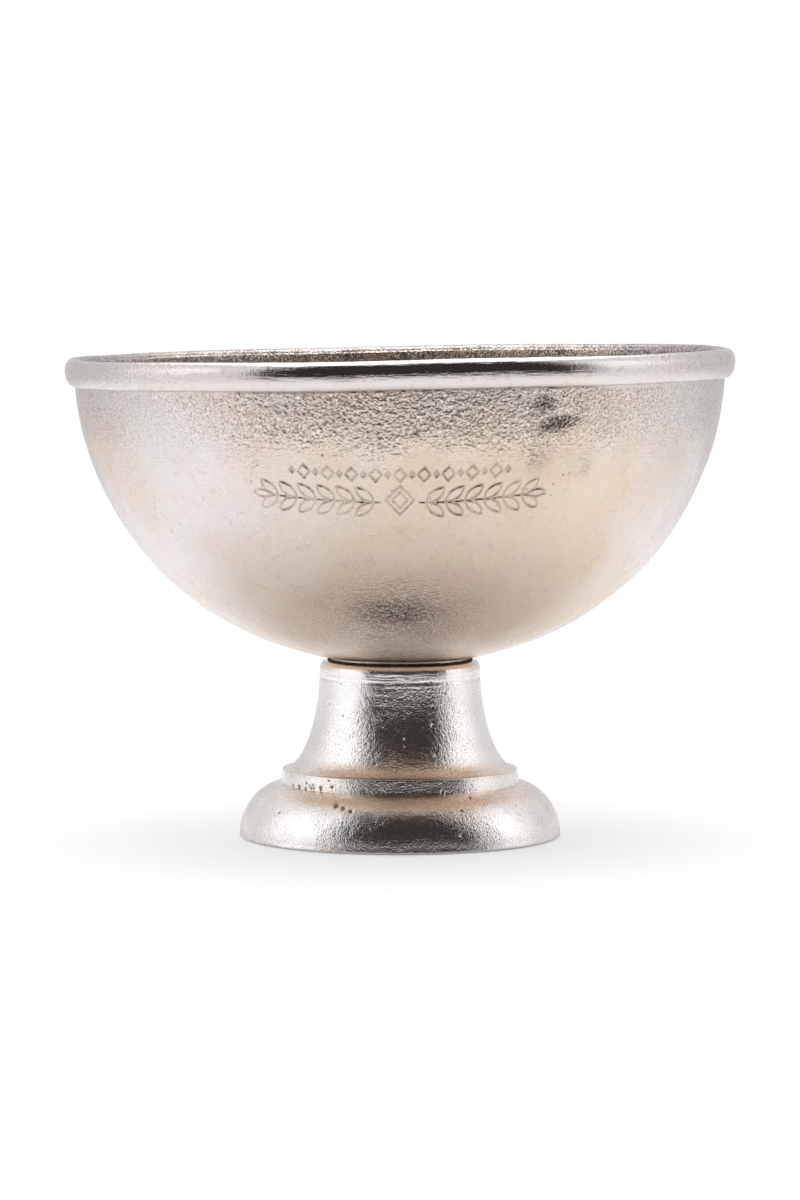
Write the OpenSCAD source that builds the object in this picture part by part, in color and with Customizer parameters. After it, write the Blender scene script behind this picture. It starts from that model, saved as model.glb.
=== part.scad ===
// Footed champagne bowl: a deep cast bowl with a beaded rim, bolted down on a hollow cast foot.
// One stud screwed into the underside of the bowl passes through the foot, and a nut clamps the
// two castings together over a thin rubber gasket. Four felt pads carry it all.
// Millimetres. +Z is up, and the origin is the middle of the plane that it stands on.

/* [Bowl] */
// Outside diameter over the rim bead
rim_d = 400; // [320:1:480]
// Height of the bowl, from its flat base land to the top of the rim
bowl_h = 187; // [150:1:226]
// Thickness of the bowl's wall
bowl_wall = 5; // [3.5:0.5:7]
// Thickness of the flat floor inside the bowl
bowl_floor = 7.5; // [6:0.5:12]
// Squareness of the side curve, where 2 is a true ellipse
bowl_fullness = 2.12; // [1.9:0.02:2.5]
// Height of the flat land that stands down from the bowl's round bottom
land_step = 0.8; // [0.4:0.1:3]
// How far the rim bead stands out from the wall
bead_out = 5.5; // [3:0.5:9]
// Height of the rim bead
bead_h = 18; // [12:1:26]
// Distance from the top of the rim down to the fullest part of the bead
bead_drop = 7.5; // [5:0.5:11]

/* [Foot] */
// Height of the foot from the table to its top
foot_h = 106; // [86:1:128]
// Outside diameter of the foot's base
base_d = 193; // [164:1:234]
// Height of the rounded base moulding
base_h = 32.7; // [24:0.1:40]
// Radius of the edge between the base moulding and its underside
base_edge = 1.5; // [0.5:0.5:2]
// Width of the ring that the foot's underside rests its pads in
base_land = 14; // [13:0.5:18]
// Diameter of the step ring above the base moulding
ring_d = 143.4; // [124:0.2:150]
// Height of the step ring
ring_h = 8.3; // [5:0.1:12]
// Diameter of the neck at its narrowest
neck_d = 96.6; // [92:0.2:116]
// Height of the rounded shoulder at the top of the neck
shoulder_h = 5; // [3:0.5:8]
// Width of the rounded shoulder at the top of the neck
shoulder_w = 3.8; // [2:0.2:4]
// Thickness of the foot's wall
foot_wall = 4.5; // [3.5:0.5:6]
// Thickness of the foot's top plate
deck_t = 6; // [5:0.5:9]

/* [Joint between bowl and foot] */
// Diameter of the spigot under the bowl that centres it in the foot
spigot_d = 27; // [22:1:32]
// Length of that spigot below the bowl's land
spigot_l = 11; // [8:0.5:16]
// Clearance all round the spigot in its socket
spigot_gap = 0.3; // [0.1:0.05:0.6]
// Clearance under the end of the spigot
spigot_end_gap = 0.8; // [0.4:0.1:1.5]
// Wall of the hub around and below the socket
hub_wall = 6; // [4.5:0.5:8]
// Thickness of the rubber gasket
gasket_t = 1; // [0.6:0.1:2]
// How far the edge of the bowl's land is set in from the edge of the foot's flat top
land_inset = 2.5; // [2:0.1:8]
// How far the gasket reaches past the bowl's land
gasket_lip = 1.4; // [0.4:0.1:1.8]

/* [Fasteners] */
// Thread diameter of the stud
thread_d = 8; // [6:1:10]
// Clearance all round the thread in the bowl's tapped hole and in the nut
thread_gap = 0.05; // [0.02:0.01:0.1]
// Metal left between the end of the tapped hole and the floor inside the bowl
stud_cover = 5; // [3.5:0.5:6]
// Clearance all round the stud in the hub and in the wide washer
hole_gap = 0.5; // [0.3:0.1:1]
// Outside diameter of the wide clamp washer
washer_d = 30; // [24:1:36]
// Thickness of the wide clamp washer
washer_t = 2.5; // [1.5:0.1:3.5]
// Outside diameter of the split lock washer
lock_d = 14.8; // [14:0.2:18]
// Thickness of the split lock washer
lock_t = 2; // [1.6:0.1:2.8]
// Clearance all round the stud in the lock washer
lock_gap = 0.25; // [0.1:0.05:0.5]
// Width of the split in the lock washer
lock_split = 1.4; // [1:0.1:2]
// Size of the nut across its flats
nut_af = 13; // [13:1:17]
// Height of the nut
nut_h = 6.5; // [5:0.5:8.5]
// How far the stud stands out past the nut
stud_past = 3.5; // [1:0.5:6]

/* [Felt pads] */
// Number of felt pads under the foot
pad_count = 4; // [3:1:8]
// Diameter of a felt pad
pad_d = 9; // [7:0.5:10]
// Thickness of a felt pad
pad_t = 2.6; // [2.2:0.1:3.5]
// Depth of the pocket that a felt pad is glued into
pad_pocket = 2; // [1:0.1:2]
// Clearance all round a felt pad in its pocket
pad_gap = 0.2; // [0.1:0.05:0.4]

/* [Hidden] */
$fn = 96;

// Straight steps along each long curve and each short one.
long_steps = 32;
short_steps = 8;
// Overshoot that lets a cut pass clean through a face.
cut = 1;
// How far down its inner side the crown of the rim is rounded over.
crown_drop = 4;
// Draft of the step ring's side, and the round on its upper edge.
ring_draft = 1;
ring_edge = 1;
// How far the base moulding's curve springs from inside the step ring.
moulding_in = 3.7;
// Pulls of the curve that sweeps the neck out into the step ring.
neck_pull = 27;
sweep_pull = 12;
// Chamfers on the spigot, on the stud's ends and on the nut's corners.
spigot_chamfer = 1;
thread_chamfer = 1;
nut_chamfer = 0.8;
// Air past the end of the stud in its tapped hole.
stud_end_gap = 1;

// Levels, from the table up.
base_z = pad_t - pad_pocket;
base_top_z = base_z + base_h;
ring_top_z = base_top_z + ring_h;
deck_z = foot_h - deck_t;
land_z = foot_h + gasket_t;
spigot_end_z = land_z - spigot_l;
socket_z = spigot_end_z - spigot_end_gap;
hub_z = socket_z - hub_wall;
washer_z = hub_z - washer_t;
lock_z = washer_z - lock_t;
nut_z = lock_z - nut_h;
stud_z = nut_z - stud_past;
floor_z = land_z + bowl_floor;
tapped_top_z = floor_z - stud_cover;
stud_top_z = tapped_top_z - stud_end_gap;
rim_z = land_z + bowl_h;
bead_z = rim_z - bead_h;
bead_mid_z = rim_z - bead_drop;

// Radii.
wall_r = rim_d / 2 - bead_out;
base_r = base_d / 2;
ring_r = ring_d / 2;
neck_r = neck_d / 2;
land_r = neck_r - shoulder_w - land_inset;
socket_r = spigot_d / 2 + spigot_gap;
hub_r = socket_r + hub_wall;
tapped_r = thread_d / 2 + thread_gap;
hole_r = thread_d / 2 + hole_gap;
cavity_r = base_r - base_land;
pad_ring_r = (cavity_r + base_r - base_edge) / 2;

// Half axes of the base moulding's curve, and the radius that it is struck from.
moulding_rx = base_r - ring_r + moulding_in;
moulding_rz = base_h - base_edge;
moulding_r = ring_r - moulding_in;

// Points along an elliptical arc about (x, z), from angle a0 to angle a1.
function arc(x, z, rx, rz, a0, a1, steps) =
    [for (i = [0:steps]) let (a = a0 + (a1 - a0) * i / steps) [x + rx * cos(a), z + rz * sin(a)]];

// Points along a cubic curve from p to s, pulled by q and r.
function sweep(p, q, r, s, steps) =
    [for (i = [0:steps]) let (t = i / steps, u = 1 - t)
        u * u * u * p + 3 * u * u * t * q + 3 * u * t * t * r + t * t * t * s];

// The bowl's side is a superellipse hung from the rim plane. Its depth is set so that it meets
// the edge of the land, a step's height up.
side_depth = (bowl_h - land_step)
    / pow(1 - pow(land_r / wall_r, bowl_fullness), 1 / bowl_fullness);

// Points along that side between two heights, evenly spread by angle. The inset is the wall's
// thickness for the inside.
function side_angle(z, depth) = asin(pow((rim_z - z) / depth, bowl_fullness / 2));
function side(inset, z0, z1) =
    let (r = wall_r - inset, depth = side_depth - inset,
         t0 = side_angle(z0, depth), t1 = side_angle(z1, depth))
    [for (i = [0:long_steps]) let (t = t0 + (t1 - t0) * i / long_steps)
        [r * pow(cos(t), 2 / bowl_fullness), rim_z - depth * pow(sin(t), 2 / bowl_fullness)]];

// The bowl: land, outer side, rim bead, crown, inner side and flat floor.
function bowl_outline() =
    concat(
        [[0, land_z], [land_r, land_z]],
        side(0, land_z + land_step, bead_z),
        arc(wall_r, bead_mid_z, bead_out, bead_mid_z - bead_z, -75, 0, short_steps),
        arc(wall_r, bead_mid_z, bead_out, bead_drop, 9, 90, short_steps),
        arc(wall_r, rim_z - crown_drop, bowl_wall, crown_drop, 99, 165, short_steps),
        side(bowl_wall, rim_z - crown_drop, floor_z),
        [[0, floor_z]]
    );

module bowl() {
    color("silver")
    difference() {
        union() {
            rotate_extrude() polygon(bowl_outline());
            translate([0, 0, spigot_end_z + spigot_chamfer])
                cylinder(d = spigot_d, h = spigot_l - spigot_chamfer + cut);
            translate([0, 0, spigot_end_z])
                cylinder(d1 = spigot_d - 2 * spigot_chamfer, d2 = spigot_d, h = spigot_chamfer);
        }
        translate([0, 0, spigot_end_z - cut])
            cylinder(r = tapped_r, h = tapped_top_z - spigot_end_z + cut);
    }
}

// The foot's side: base moulding, step ring and the sweep up to the neck. An inset greater than
// zero gives the side of the cavity, a wall's thickness in and with plain corners.
function foot_side(inset, neck_top_z) =
    let (step_r = ring_r - inset, step_z = ring_top_z - inset, waist_r = neck_r - inset,
         outside = inset == 0, edge_r = step_r - (outside ? ring_draft + ring_edge : 0))
    concat(
        arc(moulding_r, base_z + base_edge, moulding_rx - inset, moulding_rz - inset,
            0, acos((step_r - moulding_r) / (moulding_rx - inset)), long_steps),
        outside ? arc(edge_r, step_z - ring_edge, ring_edge, ring_edge, 0, 75, short_steps) : [],
        sweep([edge_r, step_z], [edge_r - sweep_pull, step_z],
              [waist_r, neck_top_z - neck_pull], [waist_r, neck_top_z], long_steps)
    );

module foot_body() {
    rotate_extrude() polygon(concat(
        [[0, base_z], [base_r - base_edge, base_z]],
        arc(base_r - base_edge, base_z + base_edge, base_edge, base_edge, -75, -15, short_steps),
        foot_side(0, foot_h - shoulder_h),
        arc(neck_r - shoulder_w, foot_h - shoulder_h, shoulder_w, shoulder_h, 10, 90, short_steps),
        [[0, foot_h]]
    ));
}

module foot_cavity() {
    difference() {
        intersection() {
            rotate_extrude() polygon(concat([[0, base_z + base_edge]], foot_side(foot_wall, deck_z),
                                            [[0, deck_z]]));
            cylinder(r = cavity_r, h = foot_h);
        }
        translate([0, 0, hub_z]) cylinder(r = hub_r, h = foot_h);
    }
    translate([0, 0, base_z - cut]) cylinder(r = cavity_r, h = base_edge + 2 * cut);
}

// One of a ring of pads or pockets.
module around_base(count) {
    for (i = [0:count - 1])
        rotate([0, 0, (i + 0.5) * 360 / count]) translate([pad_ring_r, 0, 0]) children();
}

module foot() {
    color("gainsboro")
    difference() {
        foot_body();
        foot_cavity();
        translate([0, 0, socket_z]) cylinder(r = socket_r, h = foot_h);
        translate([0, 0, hub_z - cut]) cylinder(r = hole_r, h = foot_h);
        around_base(pad_count)
            translate([0, 0, base_z - cut]) cylinder(r = pad_d / 2 + pad_gap, h = pad_pocket + cut);
    }
}

// A flat ring standing on height z.
module flat_ring(outer_r, inner_r, z, t) {
    translate([0, 0, z])
    difference() {
        cylinder(r = outer_r, h = t);
        translate([0, 0, -cut]) cylinder(r = inner_r, h = t + 2 * cut);
    }
}

module seat_gasket() {
    color("dimgray")
    flat_ring(land_r + gasket_lip, socket_r, foot_h, gasket_t);
}

module centre_stud() {
    core_r = thread_d / 2 - thread_chamfer;
    color("lightsteelblue") {
        translate([0, 0, stud_z + thread_chamfer])
            cylinder(d = thread_d, h = stud_top_z - stud_z - 2 * thread_chamfer);
        translate([0, 0, stud_z]) cylinder(r1 = core_r, r2 = thread_d / 2, h = thread_chamfer);
        translate([0, 0, stud_top_z - thread_chamfer])
            cylinder(r1 = thread_d / 2, r2 = core_r, h = thread_chamfer);
    }
}

module clamp_washer() {
    color("lightgray")
    flat_ring(washer_d / 2, hole_r, washer_z, washer_t);
}

module lock_washer() {
    color("slategray")
    difference() {
        flat_ring(lock_d / 2, thread_d / 2 + lock_gap, lock_z, lock_t);
        translate([0, -lock_split / 2, lock_z - cut]) cube([lock_d, lock_split, lock_t + 2 * cut]);
    }
}

module clamp_nut() {
    corner_r = nut_af / 2 / cos(30);
    face_r = corner_r - nut_chamfer * 2;
    color("lightgray")
    translate([0, 0, nut_z])
    difference() {
        intersection() {
            cylinder(r = corner_r, h = nut_h, $fn = 6);
            union() {
                cylinder(r1 = face_r, r2 = corner_r, h = nut_chamfer);
                translate([0, 0, nut_chamfer]) cylinder(r = corner_r, h = nut_h - 2 * nut_chamfer);
                translate([0, 0, nut_h - nut_chamfer])
                    cylinder(r1 = corner_r, r2 = face_r, h = nut_chamfer);
            }
        }
        translate([0, 0, -cut]) cylinder(r = tapped_r, h = nut_h + 2 * cut);
    }
}

module felt_pads() {
    color("darkolivegreen")
    around_base(pad_count) cylinder(d = pad_d, h = pad_t);
}

bowl();
foot();
seat_gasket();
centre_stud();
clamp_washer();
lock_washer();
clamp_nut();
felt_pads();
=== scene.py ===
"""A footed champagne bowl of cast and plated metal, standing in a plain white studio.

The two castings and the stud are turned meshes with their relief modelled in. The other
pieces keep their CAD meshes. Sizes are in millimetres until a mesh is made.
"""
import math

import bpy
import numpy as np
from mathutils import Matrix, Vector


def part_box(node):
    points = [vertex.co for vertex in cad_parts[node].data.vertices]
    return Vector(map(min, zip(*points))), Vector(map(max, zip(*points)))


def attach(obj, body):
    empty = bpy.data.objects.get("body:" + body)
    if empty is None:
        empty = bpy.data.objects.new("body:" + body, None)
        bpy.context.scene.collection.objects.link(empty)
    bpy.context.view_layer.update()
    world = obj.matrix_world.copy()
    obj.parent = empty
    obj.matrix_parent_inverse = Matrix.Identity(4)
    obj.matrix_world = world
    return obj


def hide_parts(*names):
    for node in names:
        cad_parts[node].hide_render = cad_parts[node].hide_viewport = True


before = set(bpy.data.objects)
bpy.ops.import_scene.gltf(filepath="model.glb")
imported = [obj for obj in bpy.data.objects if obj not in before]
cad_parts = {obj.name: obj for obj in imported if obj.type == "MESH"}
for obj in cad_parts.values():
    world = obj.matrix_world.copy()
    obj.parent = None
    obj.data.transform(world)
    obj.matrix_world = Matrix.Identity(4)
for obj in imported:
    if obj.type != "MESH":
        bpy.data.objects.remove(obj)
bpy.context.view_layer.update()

MM = 0.001
BODY = "root"


def cad_mm(node):
    """The lowest and highest corner of a CAD node, in millimetres."""
    low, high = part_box(node)
    return np.array(low) / MM, np.array(high) / MM


def cad_top(node):
    """The height of a CAD node's top, in millimetres."""
    return cad_mm(node)[1][2]


# Levels and radii that the CAD gives.
BOWL_LOW, BOWL_HIGH = cad_mm("bowl")
FOOT_LOW, FOOT_HIGH = cad_mm("foot")
STUD_LOW, STUD_HIGH = cad_mm("centre_stud")
RIM_R, RIM_Z = BOWL_HIGH[0], BOWL_HIGH[2]
LAND_Z = cad_top("seat_gasket")
SPIGOT_Z = BOWL_LOW[2]
BASE_R, BASE_Z = FOOT_HIGH[0], FOOT_LOW[2]
FOOT_TOP = FOOT_HIGH[2]
HUB_Z = cad_top("clamp_washer")
PAD_T = cad_top("felt_pads")

# The bowl's section.
BEAD_OUT, BEAD_H, BEAD_DROP, CROWN_DROP = 5.5, 18.0, 7.5, 4.0
BOWL_WALL, BOWL_FLOOR, FULLNESS = 5.0, 7.5, 2.12
LAND_R, LAND_STEP, SPIGOT_R, TAPPED_R, TAPPED_END = 42.0, 0.8, 13.5, 4.05, 2.5
WALL_R = RIM_R - BEAD_OUT
SIDE_DEPTH = (RIM_Z - LAND_Z - LAND_STEP) / (1 - (LAND_R / WALL_R) ** FULLNESS) ** (1 / FULLNESS)

# The foot's section.
BASE_H, BASE_EDGE, BASE_LAND = 32.7, 1.5, 14.0
RING_R, RING_H, RING_DRAFT, RING_EDGE, MOULDING_IN = 71.7, 8.3, 1.0, 1.0, 3.7
NECK_R, SHOULDER_H, SHOULDER_W, NECK_PULL, SWEEP_PULL = 48.3, 5.0, 3.8, 27.0, 12.0
FOOT_WALL, DECK_T, HUB_WALL, SOCKET_GAP, HOLE_R = 4.5, 6.0, 6.0, 0.3, 4.5


# Noise ---------------------------------------------------------------------------------------

def hashed(ix, iy, iz, seed):
    """A repeatable pseudo-random 32-bit number for each lattice point."""
    h = (ix * 73856093) ^ (iy * 19349663) ^ (iz * 83492791) ^ (seed * 2654435761)
    for _ in range(2):
        h = (h & 0xFFFFFFFF) * 0x45D9F3B & 0xFFFFFFFF
        h = h ^ (h >> 16)
    return h


def noise(points, cell, seed):
    """Smooth gradient noise of about -1 to 1, with lumps about one cell across."""
    q = points / cell
    base = np.floor(q).astype(np.int64)
    f = q - base
    fade = f * f * f * (f * (f * 6 - 15) + 10)
    total = np.zeros(len(points))
    for corner in np.ndindex(2, 2, 2):
        at = base + corner
        h = hashed(at[:, 0], at[:, 1], at[:, 2], seed)
        slope = [((h >> shift) & 1023) / 511.5 - 1 for shift in (0, 10, 20)]
        weight = np.prod([fade[:, i] if c else 1 - fade[:, i] for i, c in enumerate(corner)], axis=0)
        total += weight * sum(slope[i] * (f[:, i] - c) for i, c in enumerate(corner))
    return 1.5 * total


def smooth(x, low, high):
    """0 below low and 1 above high, with a smooth step between. low may be the larger."""
    t = np.clip((x - low) / (high - low), 0, 1)
    return t * t * (3 - 2 * t)


def bump_at(dx, dy, power=2.0):
    """A round hill of height 1 that falls off past a distance of about 1."""
    return np.exp(-(dx * dx + dy * dy) ** (power / 2))


def scattered(count, seed, phi, z, radius):
    """Repeatable pits: (angle, height, radius) drawn evenly from the three ranges."""
    draw = np.random.default_rng(seed).random((count, 3))
    return [tuple(low + share * (high - low) for share, (low, high) in zip(row, (phi, z, radius))) for row in draw]


def spots(p, phi, pits):
    """How deep each point lies in any of the pits, 0 to 1."""
    deep = np.zeros(len(p))
    reach = np.hypot(p[:, 0], p[:, 1])
    for angle, height, radius in pits:
        near = (np.abs(p[:, 2] - height) < 3 * radius) & (np.abs(phi - angle) < 8)
        du = np.radians(phi[near] - angle) * reach[near]
        deep[near] = np.maximum(deep[near], bump_at(du / radius, (p[near, 2] - height) / radius, 3))
    return deep


# Turned meshes -------------------------------------------------------------------------------

def arc(x, z, rx, rz, a0, a1, steps=24):
    """Points along an elliptical arc, between two angles in degrees."""
    a = np.radians(np.linspace(a0, a1, steps + 1))
    return np.stack([x + rx * np.cos(a), z + rz * np.sin(a)], 1)


def sweep(p, q, r, s, steps=200):
    """Points along a cubic curve from p to s, pulled by q and r."""
    t = np.linspace(0, 1, steps + 1)[:, None]
    u = 1 - t
    return u**3 * np.array(p) + 3 * u * u * t * np.array(q) + 3 * u * t * t * np.array(r) + t**3 * np.array(s)


def side(inset, z0, z1, steps=400):
    """Points along the bowl's side, a superellipse hung from the rim, inset by the wall."""
    depth, power = SIDE_DEPTH - inset, FULLNESS
    turn = [math.asin(((RIM_Z - z) / depth) ** (power / 2)) for z in (z0, z1)]
    t = np.linspace(*turn, steps + 1)
    return np.stack([(WALL_R - inset) * np.cos(t) ** (2 / power),
                     RIM_Z - depth * np.sin(t) ** (2 / power)], 1)


def even(points, pieces):
    """The same curve with its points spread evenly along it."""
    points = np.asarray(points, float)
    run = np.concatenate([[0], np.cumsum(np.hypot(*np.diff(points, axis=0).T))])
    at = np.linspace(0, run[-1], pieces + 1)
    return np.stack([np.interp(at, run, points[:, i]) for i in (0, 1)], 1)


def add_object(name, data):
    """A new object in the scene."""
    made = bpy.data.objects.new(name, data)
    bpy.context.scene.collection.objects.link(made)
    return made


class Outline:
    """A section to turn round Z: its rows, the zone each lies in and how far along each is.

    Each stretch is (zone, row spacing, points). Every row interval holds `fine` smaller ones,
    of which a mesh uses only those in its fine patch.
    """

    def __init__(self, stretches, fine, closed):
        rows, zones = [], []
        for zone, spacing, points in stretches:
            length = np.hypot(*np.diff(np.asarray(points, float), axis=0).T).sum()
            pieces = max(1, round(length / spacing)) * fine
            rows.append(even(points, pieces)[:-1])
            zones += [zone] * pieces
        if not closed:
            rows.append(np.asarray(stretches[-1][2], float)[-1:])
            zones.append(stretches[-1][0])
        self.rz = np.concatenate(rows)
        self.zone = np.array(zones)
        self.closed, self.fine = closed, fine
        ahead, behind = np.roll(self.rz, -1, 0), np.roll(self.rz, 1, 0)
        if not closed:
            ahead[-1], behind[0] = self.rz[-1], self.rz[0]
        along = ahead - behind
        along /= np.maximum(np.hypot(*along.T), 1e-9)[:, None]
        self.normal = np.stack([along[:, 1], -along[:, 0]], 1)
        steps = np.hypot(*np.diff(self.rz, axis=0).T)
        self.run = np.concatenate([[0], np.cumsum(steps)])


def lattice_faces(rows, columns, fine, patch):
    """The faces of a turned lattice, as lists of (row, column) corners in fine steps.

    Faces are one coarse cell each, apart from those inside patch = (row0, row1, column0,
    column1), in coarse steps. A coarse face beside the patch takes in its small steps.
    """
    r0, r1, c0, c1 = patch
    faces = []
    for i in range(rows):
        near_row = r0 - 1 <= i <= r1
        for j in range(columns):
            a, b, n = i * fine, j * fine, fine
            if not (near_row and c0 - 1 <= j <= c1):
                faces.append([(a, b), (a, b + n), (a + n, b + n), (a + n, b)])
                continue
            row_in, column_in = r0 <= i < r1, c0 <= j < c1
            if row_in and column_in:
                faces += [[(x, y), (x, y + 1), (x + 1, y + 1), (x + 1, y)]
                          for x in range(a, a + n) for y in range(b, b + n)]
                continue
            step_low = 1 if column_in and i == r1 else n
            step_right = 1 if row_in and j == c0 - 1 else n
            step_high = 1 if column_in and i == r0 - 1 else n
            step_left = 1 if row_in and j == c1 else n
            faces.append([(a, y) for y in range(b, b + n, step_low)]
                         + [(x, b + n) for x in range(a, a + n, step_right)]
                         + [(a + n, y) for y in range(b + n, b, -step_high)]
                         + [(x, b) for x in range(a + n, a, -step_left)])
    return faces


NO_PATCH = (0, 0, -9, -9)


def turned(name, outline, columns, relief, patch=NO_PATCH):
    """Turns an outline into a mesh object and shapes it.

    relief(p, phi, zone, run) gives how far each point moves along its normal, how far it moves
    up, and a dictionary of values to keep on the points for the materials. phi is the angle
    round from the front, in degrees, growing towards +X. zone and run are the outline's.
    """
    fine = outline.fine
    levels = len(outline.rz)
    rows = (levels if outline.closed else levels - 1) // fine
    around = columns * fine
    faces = lattice_faces(rows, columns, fine, patch)
    corners = np.array([c for face in faces for c in face])
    ends = np.cumsum([len(face) for face in faces])
    at_row = corners[:, 0] % levels if outline.closed else corners[:, 0]
    at_column = np.where(outline.rz[at_row, 0] < 1e-6, 0, corners[:, 1] % around)
    used, index = np.unique(at_row * around + at_column, return_inverse=True)
    row, column = used // around, used % around

    angle = 2 * np.pi * column / around - np.pi
    out = np.stack([np.sin(angle), -np.cos(angle)], 1)
    radius, height = outline.rz[row].T
    p = np.column_stack([out * radius[:, None], height])
    slope = outline.normal[row]
    normal = np.column_stack([out * slope[:, :1], slope[:, 1]])
    move, lift, kept = relief(p, np.degrees(angle), outline.zone[row], outline.run[row])
    p = p + normal * np.asarray(move)[:, None]
    p[:, 2] += lift

    u, v = corners[:, 1] / around, corners[:, 0] / (rows * fine)
    starts = np.concatenate([[0], ends[:-1]])
    loops, first = [], []
    pole = outline.rz[at_row, 0] < 1e-6
    for start, end in zip(starts, ends):
        face = list(range(start, end))
        tips = [k for k in face if pole[k]]
        if len(tips) == 2:
            u[tips[0]] = (u[tips[0]] + u[tips[1]]) / 2
            face.remove(tips[1])
        first.append(len(loops))
        loops += face
    mesh = bpy.data.meshes.new(name)
    mesh.vertices.add(len(p))
    mesh.vertices.foreach_set("co", (p * MM).ravel())
    mesh.loops.add(len(loops))
    mesh.loops.foreach_set("vertex_index", index[loops].astype(np.int32))
    mesh.polygons.add(len(first))
    mesh.polygons.foreach_set("loop_start", np.array(first, np.int32))
    mesh.update(calc_edges=True)
    mesh.uv_layers.new(name="OFBake").data.foreach_set("uv", np.stack([u[loops], v[loops]], 1).ravel())
    for key, values in kept.items():
        mesh.attributes.new(key, "FLOAT", "POINT").data.foreach_set("value", np.asarray(values, np.float32))
    if mesh.validate():
        raise RuntimeError(f"{name}: the mesh had faults")
    mesh.polygons.foreach_set("use_smooth", np.ones(len(mesh.polygons), bool))
    mesh.set_sharp_from_angle(angle=math.radians(38))
    return add_object(name, mesh)


# The bowl ------------------------------------------------------------------------------------

# The rim dips to the left of the front, as a bowl that has settled on its bolt does.
RIM_DIP, RIM_HIGH_SIDE = 3.3, 98.0
DIP_FROM_Z = 200.0

PITS_BOWL = ([(2.7, 252.5, 1.9), (4.6, 254.0, 1.1), (-3.5, 249.0, 1.0), (27.0, 214.0, 0.8), (28.5, 213.0, 0.7)]
             + scattered(28, 3, (-33, 33), (206, 272), (0.45, 0.8)))

# The finer patch of the mesh starts at this height, below the engraving, and reaches this far
# round to each side of the front.
PATCH_LOW_Z, PATCH_TURN = 197.0, 35

# The engraving: its middle's height, the radius there, and how wide and deep a stroke is cut.
ENGRAVING_Z, ENGRAVING_R = 211.0, 178.0
STROKE, STROKE_DEPTH = 0.85, 0.55

# Its garland and the row of diamonds over it, in millimetres from its middle.
LEAVES, LEAF_START, LEAF_PITCH, LEAF_L, LEAF_W, LEAF_TURN = 6, 15, 11, 13.5, 5.6, 43
GARLAND_TIP, STEM_START = 73.0, 10.5
UPPER_ROW, DIAMOND_PITCH, DIAMONDS_EACH_WAY = 16.5, 6.6, 9


def leaf(u, v, cu, cv, angle, length, width):
    """Signed distance to the edge of a pointed leaf that starts at (cu, cv)."""
    a = math.radians(angle)
    x, y = u - cu, v - cv
    along = x * math.cos(a) + y * math.sin(a) - length / 2
    across = np.abs(-x * math.sin(a) + y * math.cos(a))
    along = np.abs(along)
    half, thick = length / 2, width / 2
    radius = (half * half + thick * thick) / (2 * thick)
    off = radius - thick
    tip = np.hypot(along - half, across)
    flank = np.hypot(along, across + off) - radius
    return np.where((along - half) * off > across * half, tip, flank)


def diamond(u, v, cu, cv, half_w, half_h):
    """Roughly signed distance to the edge of a diamond."""
    k = math.hypot(half_w, half_h)
    return (np.abs(u - cu) * half_h + np.abs(v - cv) * half_w - half_w * half_h) / k


def engraving(u, v):
    """How deep each point lies in the engraved ornament, 0 to 1: a garland under a row of diamonds."""
    deep = np.zeros(len(u))

    def cut(distance, stroke=STROKE):
        np.maximum(deep, smooth(np.abs(distance), stroke, stroke * 0.25), out=deep)

    def stem(x):
        return 0.0009 * x * x - 1.5

    for way in (-1, 1):
        for i in range(LEAVES):
            x = LEAF_START + LEAF_PITCH * i
            lean = way * math.degrees(math.atan(0.0018 * x))
            for turn in (LEAF_TURN, -LEAF_TURN):
                direction = lean + turn if way > 0 else 180 + lean + turn
                cut(leaf(u, v, way * x, stem(way * x), direction, LEAF_L, LEAF_W))
        cut(leaf(u, v, way * GARLAND_TIP, stem(GARLAND_TIP), 8 if way > 0 else 172, 11.5, 4.6))
    on_stem = np.where((np.abs(u) > STEM_START) & (np.abs(u) < GARLAND_TIP), v - stem(u), 9.0)
    cut(on_stem, STROKE * 0.8)
    cut(diamond(u, v, 0, 0, 8.0, 9.5))
    cut(diamond(u, v, 0, 0, 4.2, 5.2))
    for i in range(-DIAMONDS_EACH_WAY, DIAMONDS_EACH_WAY + 1):
        x = DIAMOND_PITCH * i
        y = UPPER_ROW + stem(x) + 1.5
        if i % 2:
            cut(diamond(u, v, x, y, 1.1, 1.6), STROKE * 1.2)
        else:
            cut(diamond(u, v, x, y, 3.3, 4.4))
    return deep


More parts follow.
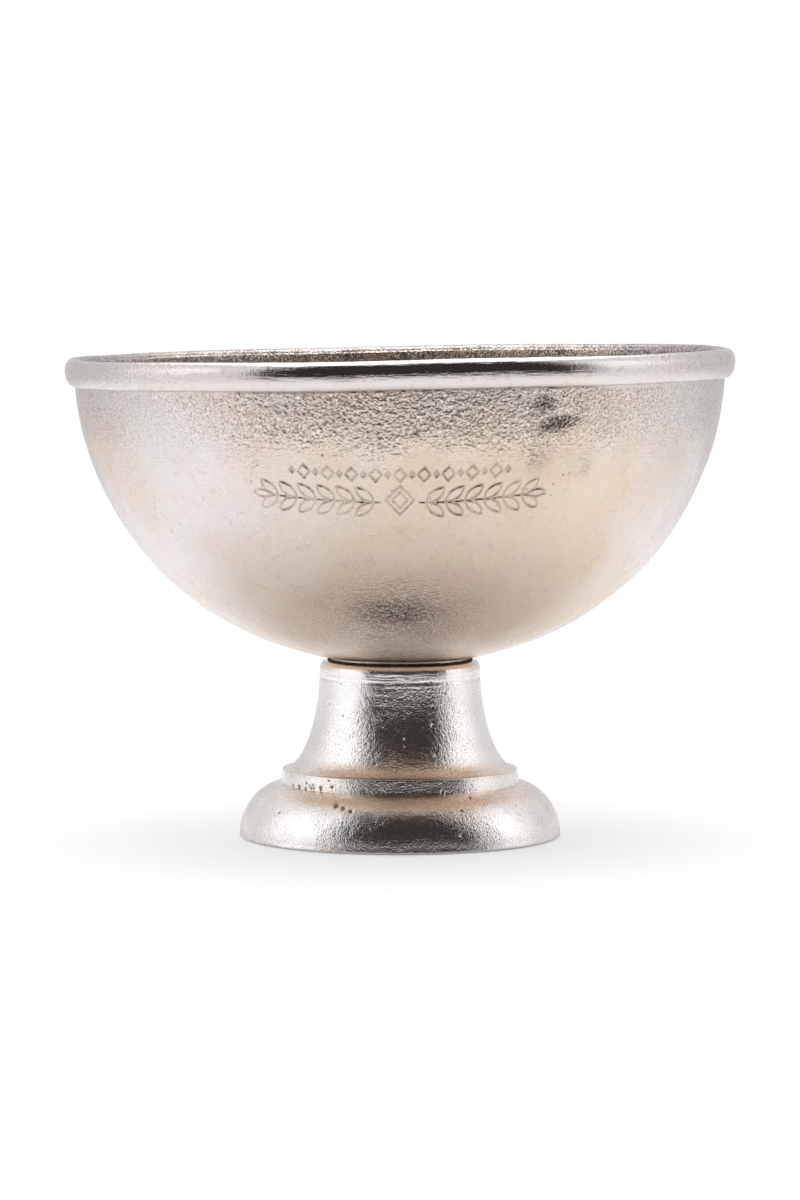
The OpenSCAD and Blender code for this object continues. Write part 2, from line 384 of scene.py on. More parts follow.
def bowl_outline(fine):
    """From the middle of the tapped hole, out under the bowl, up its side and down its inside."""
    spigot_edge = 1.0
    tapped_z = LAND_Z + TAPPED_END
    floor_z = LAND_Z + BOWL_FLOOR
    bead_z, bead_mid = RIM_Z - BEAD_H, RIM_Z - BEAD_DROP
    side_low = side(0, LAND_Z + LAND_STEP, PATCH_LOW_Z)
    side_high = side(0, PATCH_LOW_Z, bead_z)
    inner = side(BOWL_WALL, RIM_Z - CROWN_DROP, floor_z)
    bead = np.concatenate([side_high[-1:], arc(WALL_R, bead_mid, BEAD_OUT, bead_mid - bead_z, -78, 0),
                           arc(WALL_R, bead_mid, BEAD_OUT, BEAD_DROP, 3, 90)])
    crown = np.concatenate([bead[-1:], arc(WALL_R, RIM_Z - CROWN_DROP, BOWL_WALL, CROWN_DROP, 95, 174),
                            inner[:1]])
    return Outline([
        ("under", 3, [(0, tapped_z), (TAPPED_R, tapped_z)]),
        ("under", 6, [(TAPPED_R, tapped_z), (TAPPED_R, SPIGOT_Z)]),
        ("under", 5, [(TAPPED_R, SPIGOT_Z), (SPIGOT_R - spigot_edge, SPIGOT_Z)]),
        ("under", 1, [(SPIGOT_R - spigot_edge, SPIGOT_Z), (SPIGOT_R, SPIGOT_Z + spigot_edge)]),
        ("under", 5, [(SPIGOT_R, SPIGOT_Z + spigot_edge), (SPIGOT_R, LAND_Z)]),
        ("under", 5, [(SPIGOT_R, LAND_Z), (LAND_R, LAND_Z)]),
        ("wall", 0.8, [(LAND_R, LAND_Z), side_low[0]]),
        ("wall", 2.6, side_low),
        ("patch", 2.8, side_high),
        ("bead", 1.1, bead),
        ("crown", 1.0, crown),
        ("inside", 3.4, inner),
        ("inside", 5, [inner[-1], (0, floor_z)]),
    ], fine, closed=False)


def bowl_relief(p, phi, zone, run):
    """The bowl's rough band, dent, pits, engraving and uneven rim."""
    z = p[:, 2]
    outside = np.isin(zone, ("wall", "patch"))
    patch = zone == "patch"
    bead = np.isin(zone, ("bead", "crown"))
    inside = zone == "inside"

    # How grainy the casting's skin is: a rough band under the front of the rim that fades to
    # both sides, a sandy patch low at the front, and weaker clouds all over.
    clouds = noise(p, 46, 11) + 0.6 * noise(p, 19, 12)
    ragged = 12 * noise(p, 30, 13) + 7 * noise(p, 12, 26)
    under_rim = smooth(z, 230 + ragged, 262 + 0.5 * ragged) * smooth(z, 281, 275)
    front = smooth(np.abs(phi - 6), 66, 14)
    band = under_rim * (0.40 + 0.60 * front) * np.clip(0.92 + 0.35 * clouds, 0, 1)
    low_sand = bump_at((phi + 1) / 24, (z - 134) / 24) * (0.9 + 0.3 * clouds)
    # The low core is a painted reflection: a dark patch low at the front that stands in for the foot and the
    # shaded floor mirrored there.
    painted_low_reflection = bump_at((phi + 1 + 3 * noise(p, 20, 27)) / 11, (z - 143 + 3 * noise(p, 14, 28)) / 9, 2.6)
    specks = smooth(noise(p, 7, 14) + 0.5 * clouds, 0.75, 1.2)
    grain = np.clip(0.08 + 0.20 * smooth(clouds, 0.2, 1.3) + 0.25 * specks + band + 0.75 * low_sand, 0, 1)
    grain = np.where(outside, grain, np.where(inside, 0.75 + 0.2 * clouds, 0.02))
    grain = np.where(zone == "crown", 0.35, grain)
    grain = np.where(zone == "bead", 0.04 + 0.30 * smooth(np.abs(phi - 3), 33, 50), grain)

    # A dent right of the band in two hollows, with a raised lip at its end, and scattered pits.
    wobble = 0.5 * noise(p, 7, 15)
    hollow = bump_at((phi - 27.4 + wobble) / 3.5, (z - 256 - 0.55 * (phi - 27.4) + 2 * wobble) / 4.6, 3.2)
    hollow_above = bump_at((phi - 24.6 + wobble) / 2.2, (z - 267.5 + 2 * wobble) / 5.5, 2.6)
    lip = bump_at((phi - 32.3 + wobble) / 1.5, (z - 258) / 7.0)
    # Darker blotches below the dent, right of the front.
    dark_blotch = bump_at((phi - 24.5) / 2.6, (z - 236) / 8.0) + 0.7 * bump_at((phi - 34) / 2.2, (z - 230) / 7.0)
    dark_blotch = dark_blotch * np.clip(0.7 + 0.8 * noise(p, 6, 20), 0, 1)
    pits = spots(p, phi, PITS_BOWL) * patch

    land_run = run[zone == "wall"].min()
    swell = 0.55 * noise(p, 56, 1) + 0.28 * noise(p, 23, 2) + 0.07 * noise(p, 9, 3)
    wall_move = (swell - 0.3) * smooth(run - land_run, 2, 18)
    edge = smooth(np.abs(phi), PATCH_TURN, PATCH_TURN - 4) * smooth(z, PATCH_LOW_Z, PATCH_LOW_Z + 3.5)
    pebbles = 0.40 * noise(p, 2.8, 4) + 0.26 * noise(p, 1.5, 5)
    wall_move = wall_move + patch * edge * pebbles * (0.08 + 1.2 * grain)
    wall_move = wall_move - 1.5 * hollow - 0.9 * hollow_above + 0.6 * lip - 0.4 * pits

    u = np.radians(phi) * ENGRAVING_R
    middle_run = np.interp(ENGRAVING_Z, *sorted_pair(z[patch], run[patch]))
    groove = np.zeros(len(p))
    groove[patch] = engraving(u[patch], run[patch] - middle_run)
    worn = np.clip(0.85 + 0.45 * noise(p, 15, 6) + 0.25 * noise(p, 4, 7), 0.4, 1)
    groove *= worn * edge
    wall_move = wall_move - STROKE_DEPTH * groove

    bead_move = 0.24 * noise(p, 34, 21) + 0.13 * noise(p, 13, 22) + 0.06 * noise(p, 5, 23) - 0.42
    inside_move = 0.5 * noise(p, 40, 31) + 0.25 * noise(p, 15, 32) + 0.10 * noise(p, 6, 33)
    move = np.select([outside, bead, inside], [wall_move, bead_move, inside_move], 0.0)
    move = np.minimum(move, np.where(bead, -0.02, 9.0))

    dip = RIM_DIP * (np.cos(np.radians(phi - RIM_HIGH_SIDE)) - 1)
    dip += 0.22 * (np.sin(np.radians(3 * phi + 40)) + np.sin(np.radians(7 * phi)) - 2)
    lift = dip * smooth(z, DIP_FROM_Z, RIM_Z)
    # Painted shade darkens the dent's hollows and the pits, and the blotches below the dent are darker too.
    dark = patch * np.clip(0.85 * hollow + 0.7 * hollow_above + 0.40 * dark_blotch + 0.45 * pits, 0, 0.85)
    # Low at the front the outside is darkened as a painted reflection of the foot and the shaded floor, over the
    # sandy patch and most in its core.
    dark = dark + outside * (0.14 * low_sand + 0.50 * painted_low_reflection)
    # Inside, the metal is darkened as painted shade, more towards the rim, with random clouds.
    inner_dark = 0.16 + 0.24 * smooth(z, 250, 285) + 0.22 * noise(p, 12, 16) + 0.12 * clouds
    dark = np.where(inside, np.clip(inner_dark, 0, 0.7), dark)
    # The rim's inner lip is darkened all round as painted shade, with a random cloud.
    dark = np.where(zone == "crown", 0.42 + 0.25 * noise(p, 7, 24), dark)
    # The warm tint: its random clouds are the metal's own tone, while the extra warmth towards the front, low down
    # and to the front right is a painted reflection of the warm room and the shaded table in front.
    warm = 0.18 + 0.30 * noise(p, 85, 17) + 0.30 * noise(p, 37, 18) + 0.12 * noise(p, 16, 25)
    warm += 0.55 * smooth(np.abs(phi - 10), 54, 14) + 0.5 * smooth(z, 200, 130)
    warm += 0.35 * smooth(np.abs(phi - 36), 26, 8) * smooth(z, 250, 215)
    # Inside, the warmth rising towards the rim is a painted reflection of the bowl's far wall.
    warm = np.where(inside, warm + 0.4 * smooth(z, 240, 285), warm)
    polish = (zone == "bead") * (0.35 + 0.65 * smooth(np.abs(phi - 3), 46, 33) + 0.15 * clouds)
    kept = {"grain": grain, "groove": groove, "polish": np.clip(polish, 0, 1),
            "dark": np.clip(dark, 0, 1), "warm": np.clip(np.where(bead, 0.12, warm), 0, 1),
            "sandy": np.clip(outside * low_sand + 0.4 * inside, 0, 1)}
    return move, lift, kept


def sorted_pair(x, y):
    """x in rising order, and y in the same order."""
    """x in rising order with the y of each, for interpolation."""
    order = np.argsort(x)
    return x[order], y[order]


def make_bowl():
    fine, columns = 5, 400
    outline = bowl_outline(fine)
    rows = np.flatnonzero(outline.zone == "patch") // fine
    middle, half = columns // 2, round(columns * PATCH_TURN / 360)
    patch = (rows.min(), rows.max() + 1, middle - half, middle + half)
    piece = turned("bowl_casting", outline, columns, bowl_relief, patch)
    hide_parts("bowl")
    return piece


# The foot ------------------------------------------------------------------------------------

# Turning marks round the neck: the height, width and depth of each, and how much of it shows.
TURNING_MARKS = ((96, 0.9, 0.34, 0.8), (93, 0.6, 0.15, 0.3), (88, 0.6, 0.12, 0.2),
                 (82, 0.8, 0.22, 0.35), (77, 0.6, 0.10, 0.2), (56, 1.0, 0.08, 0.3))

PITS_FOOT = (scattered(13, 8, (-64, -26), (33.2, 36.6), (0.7, 1.3))
             + scattered(22, 9, (-60, 45), (4, 98), (0.40, 0.70))
             + [(-26.0, 27.5, 1.5), (-22.5, 26.0, 1.2), (-19.0, 24.5, 1.0), (-52.0, 21.0, 0.9)])

# The finer patch of the foot's mesh, in columns to the left and right of the front.
FOOT_PATCH_LEFT, FOOT_PATCH_RIGHT = 64, 50


def foot_side(inset, neck_top):
    """The foot's side from base to neck, or the cavity's when inset by the wall."""
    outside = inset == 0
    step_r, waist_r = RING_R - inset, NECK_R - inset
    base_top = BASE_Z + BASE_H
    step_z = base_top + RING_H - inset
    edge_r = step_r - (RING_DRAFT + RING_EDGE if outside else 0)
    moulding_r = RING_R - MOULDING_IN
    rx, rz = BASE_R - moulding_r - inset, BASE_H - BASE_EDGE - inset
    turn = math.degrees(math.acos((step_r - moulding_r) / rx))
    moulding = arc(moulding_r, BASE_Z + BASE_EDGE, rx, rz, 0, turn, 120)
    if outside:
        ring = np.concatenate([moulding[-1:], arc(edge_r, step_z - RING_EDGE, RING_EDGE, RING_EDGE, 0, 90)])
    else:
        ring = np.array([moulding[-1], (step_r, step_z)])
    neck = sweep((edge_r, step_z), (edge_r - SWEEP_PULL, step_z),
                 (waist_r, neck_top - NECK_PULL), (waist_r, neck_top))
    return moulding, ring, neck


def foot_outline(fine):
    """From the hub's hole, out through the hollow, round the base and up the side to the socket."""
    socket_r = SPIGOT_R + SOCKET_GAP
    hub_r = socket_r + HUB_WALL
    socket_z = HUB_Z + HUB_WALL
    deck_z = FOOT_TOP - DECK_T
    cavity_r = BASE_R - BASE_LAND
    moulding, ring, neck = foot_side(0, FOOT_TOP - SHOULDER_H)
    in_moulding, in_ring, in_neck = foot_side(FOOT_WALL, deck_z)
    in_moulding = in_moulding[in_moulding[:, 0] < cavity_r]
    shoulder = arc(NECK_R - SHOULDER_W, FOOT_TOP - SHOULDER_H, SHOULDER_W, SHOULDER_H, 0, 90)
    base_edge = arc(BASE_R - BASE_EDGE, BASE_Z + BASE_EDGE, BASE_EDGE, BASE_EDGE, -90, 0)
    return Outline([
        ("cavity", 2, [(HOLE_R, HUB_Z), (HOLE_R, socket_z)][::-1]),
        ("cavity", 5, [(HOLE_R, HUB_Z), (hub_r, HUB_Z)]),
        ("cavity", 3, [(hub_r, HUB_Z), (hub_r, deck_z)]),
        ("cavity", 6, [(hub_r, deck_z), in_neck[-1]]),
        ("cavity", 3, in_neck[::-1]),
        ("cavity", 3, in_ring[::-1]),
        ("cavity", 3, in_moulding[::-1]),
        ("cavity", 4, [in_moulding[0], (cavity_r, BASE_Z)]),
        ("base", 3, [(cavity_r, BASE_Z), base_edge[0]]),
        ("outside", 0.5, base_edge),
        ("outside", 1.25, moulding),
        ("outside", 0.9, ring),
        ("outside", 1.25, neck),
        ("outside", 0.9, shoulder),
        ("seat", 4, [shoulder[-1], (socket_r, FOOT_TOP)]),
        ("seat", 4, [(socket_r, FOOT_TOP), (socket_r, socket_z)]),
        ("seat", 4, [(socket_r, socket_z), (HOLE_R, socket_z)]),
    ], fine, closed=True)


def foot_relief(p, phi, zone, run):
    """The foot's turning marks, pits and pebbled skin."""
    z = p[:, 2]
    outside, cavity = zone == "outside", zone == "cavity"
    from_ends = smooth(z, BASE_Z, BASE_Z + 4) * smooth(z, FOOT_TOP, FOOT_TOP - 4)
    swell = 0.16 * noise(p, 27, 41) + 0.10 * noise(p, 11, 42) + 0.045 * noise(p, 4.5, 43)

    marks = sum(depth * np.exp(-((z - at - 0.5 * noise(p, 30, 50 + at)) / width) ** 2)
                * np.clip(share + noise(p, 22, 44 + at), 0, 1)
                for at, width, depth, share in TURNING_MARKS)
    pits = spots(p, phi, PITS_FOOT)

    clouds = noise(p, 24, 48) + 0.6 * noise(p, 9, 49)
    turned_top = smooth(z, 97, 98.5)
    grain = np.clip(0.50 + 0.30 * clouds, 0.15, 1) * (1 - 0.7 * turned_top)
    grain = np.where(outside, grain, np.where(cavity, 0.9, 0.2))
    skin = (0.07 * noise(p, 2.8, 62) + 0.05 * noise(p, 1.5, 63)) * (0.3 + grain) * smooth(np.abs(phi + 7), 55, 48)
    move = np.select([outside, cavity], [(swell + skin - 0.28 - marks - 0.7 * pits) * from_ends,
                                         swell * 2 * from_ends], 0.0)

    # Warm tint in the coves, on the top of the step ring, over the moulding and under the bowl: partly tarnish,
    # partly painted reflection of the bowl and the warm front, so it is stronger at the front.
    ring_z = BASE_Z + BASE_H
    cove = np.exp(-((z - ring_z - RING_H - 2.5) / 4.0) ** 2) + np.exp(-((z - ring_z + 3.0) / 4.0) ** 2)
    cove += smooth(z, FOOT_TOP - 4.0, FOOT_TOP - 1.5)
    front = smooth(np.abs(phi - 5), 75, 30)
    # The hollow under the foot and the pits are darkened as painted shade.
    kept = {"grain": grain, "groove": 0.15 * outside * np.clip(marks / 0.3, 0, 1), "polish": 0 * z,
            "dark": np.clip(0.5 * cavity + 0.85 * pits * outside, 0, 1),
            "warm": np.clip(0.10 + 0.2 * clouds + (0.3 + 0.5 * front) * cove, 0, 1) * outside,
            "sandy": 0.5 * cavity}
    return move, 0 * z, kept


def make_foot():
    fine, columns = 2, 360
    outline = foot_outline(fine)
    rows = np.flatnonzero(outline.zone == "outside") // fine
    middle = columns // 2
    patch = (rows.min(), rows.max() + 1, middle - FOOT_PATCH_LEFT, middle + FOOT_PATCH_RIGHT)
    piece = turned("foot_casting", outline, columns, foot_relief, patch)
    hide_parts("foot")
    return piece


# The small pieces ----------------------------------------------------------------------------

THREAD_PITCH, THREAD_DEPTH = 1.25, 0.62


def thread_relief(p, phi, zone, run):
    """Cuts a helical thread along the shank and leaves the two chamfered ends."""
    z = p[:, 2]
    phase = (z / THREAD_PITCH - phi / 360) % 1
    depth = THREAD_DEPTH * (1 - np.abs(2 * phase - 1))
    ends = smooth(z, STUD_LOW[2] + 0.4, STUD_LOW[2] + 1.6) * smooth(z, STUD_HIGH[2] - 0.4, STUD_HIGH[2] - 1.6)
    return -depth * ends * (zone == "shank"), 0 * z, {}


def make_stud():
    r, low, high, edge = STUD_HIGH[0], STUD_LOW[2], STUD_HIGH[2], 1.0
    piece = turned("centre_stud_threaded", Outline([
        ("end", 1.5, [(0, low), (r - edge, low)]),
        ("end", 0.7, [(r - edge, low), (r, low + edge)]),
        ("shank", THREAD_PITCH / 8, [(r, low + edge), (r, high - edge)]),
        ("end", 0.7, [(r, high - edge), (r - edge, high)]),
        ("end", 1.5, [(r - edge, high), (0, high)]),
    ], 1, closed=False), 40, thread_relief)
    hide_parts("centre_stud")
    return piece


def felt_relief(p, phi, zone, run):
    return 0.10 * noise(p, 1.3, 61) - 0.10, 0 * phi, {}


PAD_COUNT, PAD_R, PAD_EDGE = 4, 4.5, 0.5


def make_pads():
    """Four pressed felt discs with softly rounded edges."""
    ring_r = (BASE_R - BASE_LAND + BASE_R - BASE_EDGE) / 2
    under = arc(PAD_R - PAD_EDGE, PAD_EDGE, PAD_EDGE, PAD_EDGE, -90, 0)
    over = arc(PAD_R - PAD_EDGE, PAD_T - PAD_EDGE, PAD_EDGE, PAD_EDGE, 0, 90)
    discs = []
    for i in range(PAD_COUNT):
        disc = turned("felt_disc", Outline([
            ("felt", 0.6, [(0, 0), under[0]]),
            ("felt", 0.25, under),
            ("felt", 0.5, [under[-1], over[0]]),
            ("felt", 0.25, over),
            ("felt", 0.6, [over[-1], (0, PAD_T)]),
        ], 1, closed=False), 48, felt_relief)
        turn = 2 * math.pi * (i + 0.5) / PAD_COUNT
        shift = (ring_r * MM * math.cos(turn), ring_r * MM * math.sin(turn), 0)
        disc.data.transform(Matrix.Translation(shift))
        discs.append(disc)
    return discs


# Materials -----------------------------------------------------------------------------------

def node(tree, kind, inputs=None, output=0, **settings):
    """Adds a shader node. Its inputs are numbers, colours or other nodes' outputs."""
    made = tree.nodes.new(kind)
    for key, value in settings.items():
        setattr(made, key, value)
    for key, value in (inputs or {}).items():
        if isinstance(value, bpy.types.NodeSocket):
            tree.links.new(value, made.inputs[key])
        else:
            made.inputs[key].default_value = value
    return made.outputs[output]


def maths(tree, operation, a, b=0.0, c=0.0, clamp=False):
    """One step of arithmetic on shader values."""
    return node(tree, "ShaderNodeMath", {0: a, 1: b, 2: c}, operation=operation, use_clamp=clamp)


def ramp(tree, value, low, high, to_low=0.0, to_high=1.0):
    """Maps low..high to to_low..to_high with a smooth step."""
    return node(tree, "ShaderNodeMapRange", {"Value": value, "From Min": low, "From Max": high,
                                             "To Min": to_low, "To Max": to_high},
                interpolation_type="SMOOTHSTEP")


def blend(tree, factor, a, b):
    """Mixes two colours."""
    return node(tree, "ShaderNodeMix", {0: factor, 6: a, 7: b}, output=2, data_type="RGBA")


def rgb(red, green, blue):
    return (red, green, blue, 1.0)


def new_material(name):
    material = bpy.data.materials.new(name)
    material.use_nodes = True
    tree = material.node_tree
    return material, tree, tree.nodes["Principled BSDF"]


def grainy(tree, place, scale, detail=2.0, distortion=0.0):
    """Shader noise of about 0 to 1, with this many lumps to the metre."""
    return node(tree, "ShaderNodeTexNoise", {"Vector": place, "Scale": scale, "Detail": detail,
                                             "Roughness": 0.55, "Distortion": distortion})


# The dark colour of painted shade in hollows and pits, and of patina in the engraving.
SHADE_AND_PATINA_COLOUR = rgb(0.10, 0.082, 0.07)


def cast_metal(name, cool, warm, rosy, tarnish, worn, roughness,
               grain_roughness, grain_scale, grain_height, fine_height):
    """Plated cast metal: clouded colour, tarnish, pits, a pebbled skin and fine scratches, with painted shade in
    its hollows and a painted warm reflection.

    The heights are in metres, and grain_scale is lumps to the metre.
    """
    material, tree, shader = new_material(name)
    place = node(tree, "ShaderNodeTexCoord", output="Object")
    grain, groove, polish, dark, warmth, sandy = (
        node(tree, "ShaderNodeAttribute", attribute_name=key, output="Fac")
        for key in ("grain", "groove", "polish", "dark", "warm", "sandy"))

    patches = grainy(tree, place, 26, 4, 0.25)
    specks = grainy(tree, place, 210, 3)
    pebbles = grainy(tree, place, grain_scale, 2.5)
    sand = grainy(tree, place, 1500, 2)
    stretched = node(tree, "ShaderNodeMapping", {"Vector": place, "Scale": (1, 1, 14),
                                                 "Rotation": (0.12, 0.08, 0)})
    scratches = grainy(tree, stretched, 70, 6, 0.3)

    # The warm attribute, part the metal's own tone and part painted reflection, drives the warm and rosy tints.
    mottle_and_painted_warmth = maths(tree, "MULTIPLY_ADD", maths(tree, "SUBTRACT", patches, 0.5), 0.9, warmth, clamp=True)
    colour = blend(tree, mottle_and_painted_warmth, cool, warm)
    rosy_patches_and_painted_warmth = maths(tree, "MULTIPLY", ramp(tree, grainy(tree, place, 11, 3, 0.3), 0.48, 0.62), warmth)
    colour = blend(tree, maths(tree, "MULTIPLY", rosy_patches_and_painted_warmth, 0.55), colour, rosy)
    # Tarnish: random specks, and more on the grain where the warm attribute's painted reflection lies.
    stain_and_painted_warmth = maths(tree, "MULTIPLY_ADD", maths(tree, "MULTIPLY", grain, warmth), 0.22,
                  ramp(tree, specks, 0.54, 0.74, 0, 0.45), clamp=True)
    colour = blend(tree, stain_and_painted_warmth, colour, tarnish)
    worn_tops = maths(tree, "MULTIPLY", ramp(tree, pebbles, 0.48, 0.62), maths(tree, "MULTIPLY", grain, 0.75))
    colour = blend(tree, worn_tops, colour, worn)
    # Painted shade in the low points of the pebbled skin.
    painted_pit_shade = maths(tree, "MULTIPLY", ramp(tree, pebbles, 0.46, 0.30), maths(tree, "MULTIPLY", grain, 0.6))
    # Patina in the engraved grooves and turning marks, partly painted shade there, plus the painted shade and
    # reflection that the dark attribute carries.
    patina_and_painted_shade = maths(tree, "ADD", maths(tree, "MULTIPLY", groove, 0.44), painted_pit_shade, clamp=True)
    patina_and_painted_shade = maths(tree, "MAXIMUM", patina_and_painted_shade, maths(tree, "MULTIPLY", dark, ramp(tree, pebbles, 0.36, 0.64, 1.7, 0.45)))
    colour = blend(tree, patina_and_painted_shade, colour, SHADE_AND_PATINA_COLOUR)
    tree.links.new(colour, shader.inputs["Base Color"])
    shader.inputs["Metallic"].default_value = 1.0

    rough = ramp(tree, patches, 0.35, 0.68, roughness * 0.88, roughness * 1.18)
    rough = maths(tree, "MULTIPLY_ADD", maths(tree, "MINIMUM", maths(tree, "MULTIPLY", grain, 1.6), 1.0),
                  grain_roughness - roughness, rough)
    rough = maths(tree, "MULTIPLY_ADD", scratches, 0.04, rough)
    rough = maths(tree, "MULTIPLY_ADD", polish, 0.055 - roughness, rough)
    rough = maths(tree, "MULTIPLY_ADD", patina_and_painted_shade, 0.12, rough, clamp=True)
    tree.links.new(rough, shader.inputs["Roughness"])

    tall = maths(tree, "MULTIPLY", pebbles, maths(tree, "MULTIPLY_ADD", grain, 0.95, 0.05))
    normal = node(tree, "ShaderNodeBump", {"Height": tall, "Distance": grain_height, "Strength": 1.0})
    low = maths(tree, "MULTIPLY_ADD", grain, 0.7, maths(tree, "MULTIPLY_ADD", sandy, 2.2, 0.3))
    low = maths(tree, "MULTIPLY", sand, low)
    normal = node(tree, "ShaderNodeBump", {"Height": low, "Distance": fine_height, "Strength": 1.0,
                                           "Normal": normal})
    marks = maths(tree, "MULTIPLY", scratches, ramp(tree, grain, 0.15, 0.6, 1.0, 0.15))
    normal = node(tree, "ShaderNodeBump", {"Height": marks, "Distance": 0.00016, "Strength": 1.0,
                                           "Normal": normal})
    tree.links.new(normal, shader.inputs["Normal"])
    return material


def plain_metal(name, colour, roughness):
    """A fastener's plated steel, with a faint cloud and fine turning marks."""
    material, tree, shader = new_material(name)
    place = node(tree, "ShaderNodeTexCoord", output="Object")
    clouds = grainy(tree, place, 160, 4)
    fine = grainy(tree, place, 2200, 2)
    darker = tuple(0.7 * c for c in colour[:3]) + (1.0,)
    tree.links.new(blend(tree, ramp(tree, clouds, 0.35, 0.7), colour, darker), shader.inputs["Base Color"])
    shader.inputs["Metallic"].default_value = 1.0
    tree.links.new(ramp(tree, clouds, 0.3, 0.7, roughness * 0.8, roughness * 1.3), shader.inputs["Roughness"])
    tree.links.new(node(tree, "ShaderNodeBump", {"Height": fine, "Distance": 0.00006}), shader.inputs["Normal"])
    return material


def rubber():
    material, tree, shader = new_material("black_rubber")
    place = node(tree, "ShaderNodeTexCoord", output="Object")
    dust = grainy(tree, place, 500, 4)
    tree.links.new(blend(tree, ramp(tree, dust, 0.45, 0.75), rgb(0.012, 0.012, 0.012), rgb(0.05, 0.047, 0.044)),
                   shader.inputs["Base Color"])
    shader.inputs["Roughness"].default_value = 0.75
    tree.links.new(node(tree, "ShaderNodeBump", {"Height": dust, "Distance": 0.00008}), shader.inputs["Normal"])
    return material


def felt():
    material, tree, shader = new_material("felt")
    place = node(tree, "ShaderNodeTexCoord", output="Object")
    fibres = grainy(tree, place, 1500, 6, 2.5)
    tree.links.new(blend(tree, ramp(tree, fibres, 0.35, 0.7), rgb(0.045, 0.05, 0.045), rgb(0.16, 0.17, 0.155)),
                   shader.inputs["Base Color"])
    shader.inputs["Roughness"].default_value = 0.95
    shader.inputs["Sheen Weight"].default_value = 0.4
    tree.links.new(node(tree, "ShaderNodeBump", {"Height": fibres, "Distance": 0.0002}), shader.inputs["Normal"])
    return material


def wear(piece, material):
    """Gives a piece its material and lets it ride on the body."""
    piece.data.materials.clear()
    piece.data.materials.append(material)
    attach(piece, BODY)


# The studio ----------------------------------------------------------------------------------

CAMERA_AT, CAMERA_DOWN, CAMERA_LENS = (0.0, -2.7, 0.344), 4.28, 135.6

# The dim opening that the front of the metal mirrors: its sides and its height, in degrees.
OPENING_SIDES, OPENING_RISE = (-51, 68), (-30, 68)

FLOOR_R, FLOOR_STEPS = 1.36, 96


def make_camera():
    camera = add_object("camera", bpy.data.cameras.new("camera"))
    camera.data.sensor_width = 36.0
    camera.data.lens = CAMERA_LENS
    camera.location = CAMERA_AT
    camera.rotation_euler = (math.radians(90 - CAMERA_DOWN), 0, 0)
    camera.data.clip_end = 50
    bpy.context.scene.camera = camera


def make_world():
    """White to the camera. To the metal it is a white room with a dim opening at the front."""
    world = bpy.data.worlds.new("studio")
    bpy.context.scene.world = world
    world.use_nodes = True
    tree = world.node_tree
    tree.nodes.clear()
    way = node(tree, "ShaderNodeTexCoord", output="Generated")
    split = tree.nodes.new("ShaderNodeSeparateXYZ")
    tree.links.new(way, split.inputs[0])
    x, y, z = split.outputs
    azimuth = maths(tree, "ARCTAN2", x, maths(tree, "MULTIPLY", y, -1.0))
    rise = maths(tree, "ARCSINE", z)

    def between(value, low, high, soft):
        up = ramp(tree, value, math.radians(low - soft), math.radians(low + soft))
        down = ramp(tree, value, math.radians(high + soft), math.radians(high - soft))
        return maths(tree, "MULTIPLY", up, down)

    opening = maths(tree, "MULTIPLY", between(azimuth, *OPENING_SIDES, 1.5), between(rise, *OPENING_RISE, 4))
    behind = maths(tree, "MULTIPLY", ramp(tree, y, 0.10, 0.60), ramp(tree, z, 0.75, 0.35))
    lit = blend(tree, behind, rgb(0.98, 0.98, 0.99), rgb(0.74, 0.73, 0.725))
    seen = blend(tree, opening, lit, rgb(0.046, 0.039, 0.035))
    room = node(tree, "ShaderNodeBackground", {"Color": seen, "Strength": 1.0})
    white = node(tree, "ShaderNodeBackground", {"Color": rgb(1, 1, 1), "Strength": 1.0})
    rays = tree.nodes.new("ShaderNodeLightPath")
    mixed = node(tree, "ShaderNodeMixShader", {0: rays.outputs["Is Camera Ray"], 1: room, 2: white})
    output = tree.nodes.new("ShaderNodeOutputWorld")
    tree.links.new(mixed, output.inputs["Surface"])


def make_floor():
    """A round white table. It is plainly lit near the foot and pure white to the camera further out."""
    turns = [2 * math.pi * i / FLOOR_STEPS for i in range(FLOOR_STEPS)]
    ring = [(FLOOR_R * math.sin(turn), FLOOR_R * math.cos(turn), 0) for turn in turns][::-1]
    mesh = bpy.data.meshes.new("floor")
    mesh.from_pydata(ring, [], [list(range(FLOOR_STEPS))])
    floor = add_object("floor", mesh)
    material, tree, shader = new_material("white_table")
    shader.inputs["Base Color"].default_value = rgb(0.93, 0.93, 0.93)
    shader.inputs["Roughness"].default_value = 0.8
    shader.inputs["Specular IOR Level"].default_value = 0.1
    glazed = node(tree, "ShaderNodeBsdfPrincipled", {"Base Color": rgb(0.93, 0.93, 0.93), "Roughness": 0.12})
    place = node(tree, "ShaderNodeTexCoord", output="Object")
    far = node(tree, "ShaderNodeVectorMath", {0: place}, output="Value", operation="LENGTH")
    rays = tree.nodes.new("ShaderNodeLightPath")
    plain = maths(tree, "MULTIPLY", ramp(tree, far, 0.10, 0.60, 0.62, 1.0), rays.outputs["Is Camera Ray"])
    white = node(tree, "ShaderNodeEmission", {"Color": rgb(1, 1, 1), "Strength": 1.0})
    shiny = node(tree, "ShaderNodeMixShader", {0: ramp(tree, far, 0.40, 1.0, 0.0, 0.55), 1: glazed, 2: white})
    table = node(tree, "ShaderNodeMixShader", {0: rays.outputs["Is Glossy Ray"], 1: shader.outputs[0], 2: shiny})
    mixed = node(tree, "ShaderNodeMixShader", {0: plain, 1: table, 2: white})
    tree.links.new(mixed, tree.nodes["Material Output"].inputs["Surface"])
    mesh.materials.append(material)


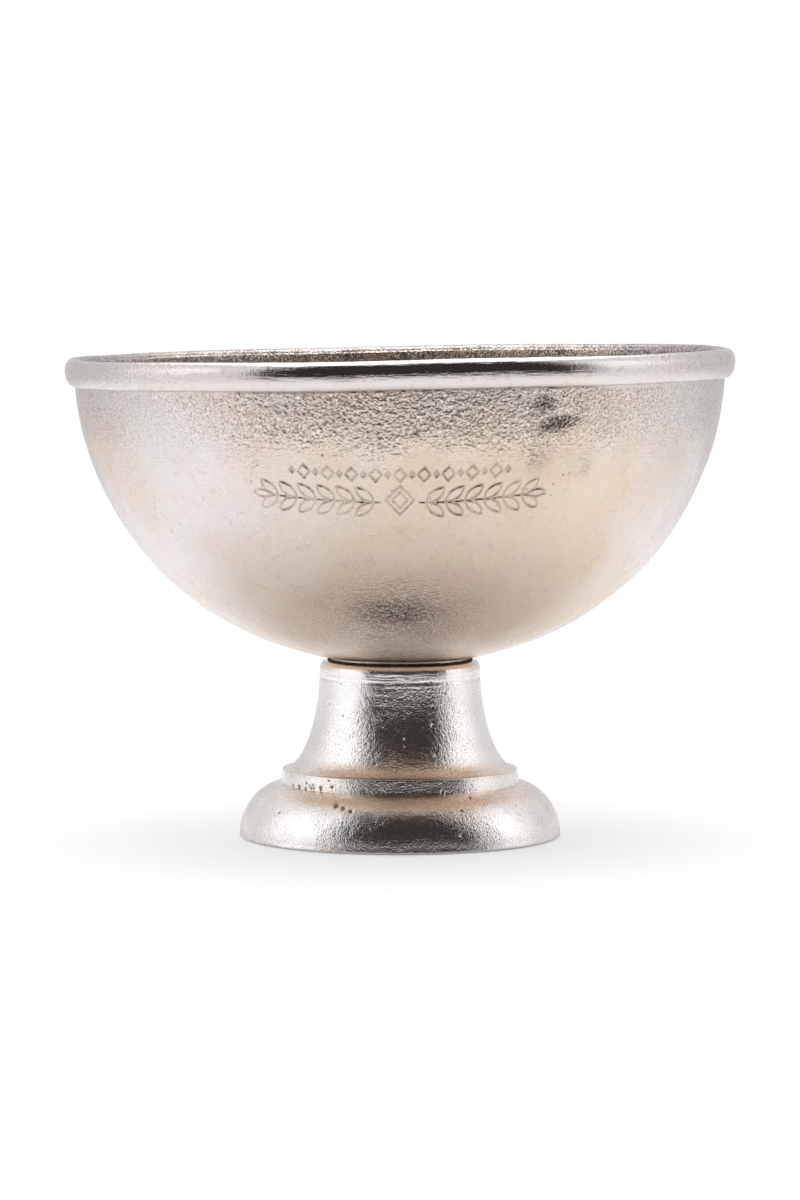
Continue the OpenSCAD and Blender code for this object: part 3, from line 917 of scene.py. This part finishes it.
def softbox(name, place, aim, size, radiance, shows=True):
    """A square lamp of this radiance, which the metal mirrors only if it shows."""
    lamp = bpy.data.lights.new(name, "AREA")
    lamp.shape = "SQUARE"
    lamp.size = size
    lamp.energy = radiance * math.pi * size * size
    box = add_object(name, lamp)
    box.location = place
    box.rotation_euler = (Vector(aim) - Vector(place)).to_track_quat("-Z", "Y").to_euler()
    box.visible_camera = False
    box.visible_glossy = shows


# The scene -----------------------------------------------------------------------------------

bpy.context.scene.view_settings.view_transform = "Standard"
make_camera()
make_world()
make_floor()
softbox("overhead", (0.0, 0.7, 2.6), (0, 0.1, 0), 2.6, 1.9)
softbox("table_light", (0.0, -1.0, 2.3), (0, -0.5, 0), 1.8, 2.2, shows=False)
softbox("left_box", (-2.4, -0.3, 1.2), (0, 0, 0.2), 1.4, 0.5)
softbox("right_box", (2.4, -0.1, 1.2), (0, 0, 0.2), 1.4, 0.4)

# The warm and rosy colours partly paint a reflection, where the warm attribute says.
bowl_metal = cast_metal("bowl_metal", cool=rgb(0.67, 0.635, 0.63), warm=rgb(0.67, 0.55, 0.44),
                        rosy=rgb(0.67, 0.505, 0.435), tarnish=rgb(0.53, 0.42, 0.345), worn=rgb(0.90, 0.84, 0.79),
                        roughness=0.25, grain_roughness=0.145,
                        grain_scale=700, grain_height=0.0012, fine_height=0.00013)
foot_metal = cast_metal("foot_metal", cool=rgb(0.93, 0.915, 0.91), warm=rgb(0.72, 0.56, 0.43),
                        rosy=rgb(0.72, 0.53, 0.42), tarnish=rgb(0.80, 0.76, 0.73), worn=rgb(0.95, 0.93, 0.92),
                        roughness=0.10, grain_roughness=0.085,
                        grain_scale=900, grain_height=0.00055, fine_height=0.00010)
plated_steel = plain_metal("plated_steel", rgb(0.66, 0.66, 0.64), 0.3)
spring_steel = plain_metal("spring_steel", rgb(0.30, 0.30, 0.31), 0.38)
black_rubber = rubber()

wear(make_bowl(), bowl_metal)
wear(make_foot(), foot_metal)
wear(make_stud(), plated_steel)

felt_material = felt()
for pad in make_pads():
    wear(pad, felt_material)
    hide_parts("felt_pads")

for name, material in (("seat_gasket", black_rubber), ("clamp_washer", plated_steel),
                       ("lock_washer", spring_steel), ("clamp_nut", plated_steel)):
    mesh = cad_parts[name].data
    mesh.materials.clear()
    mesh.materials.append(material)
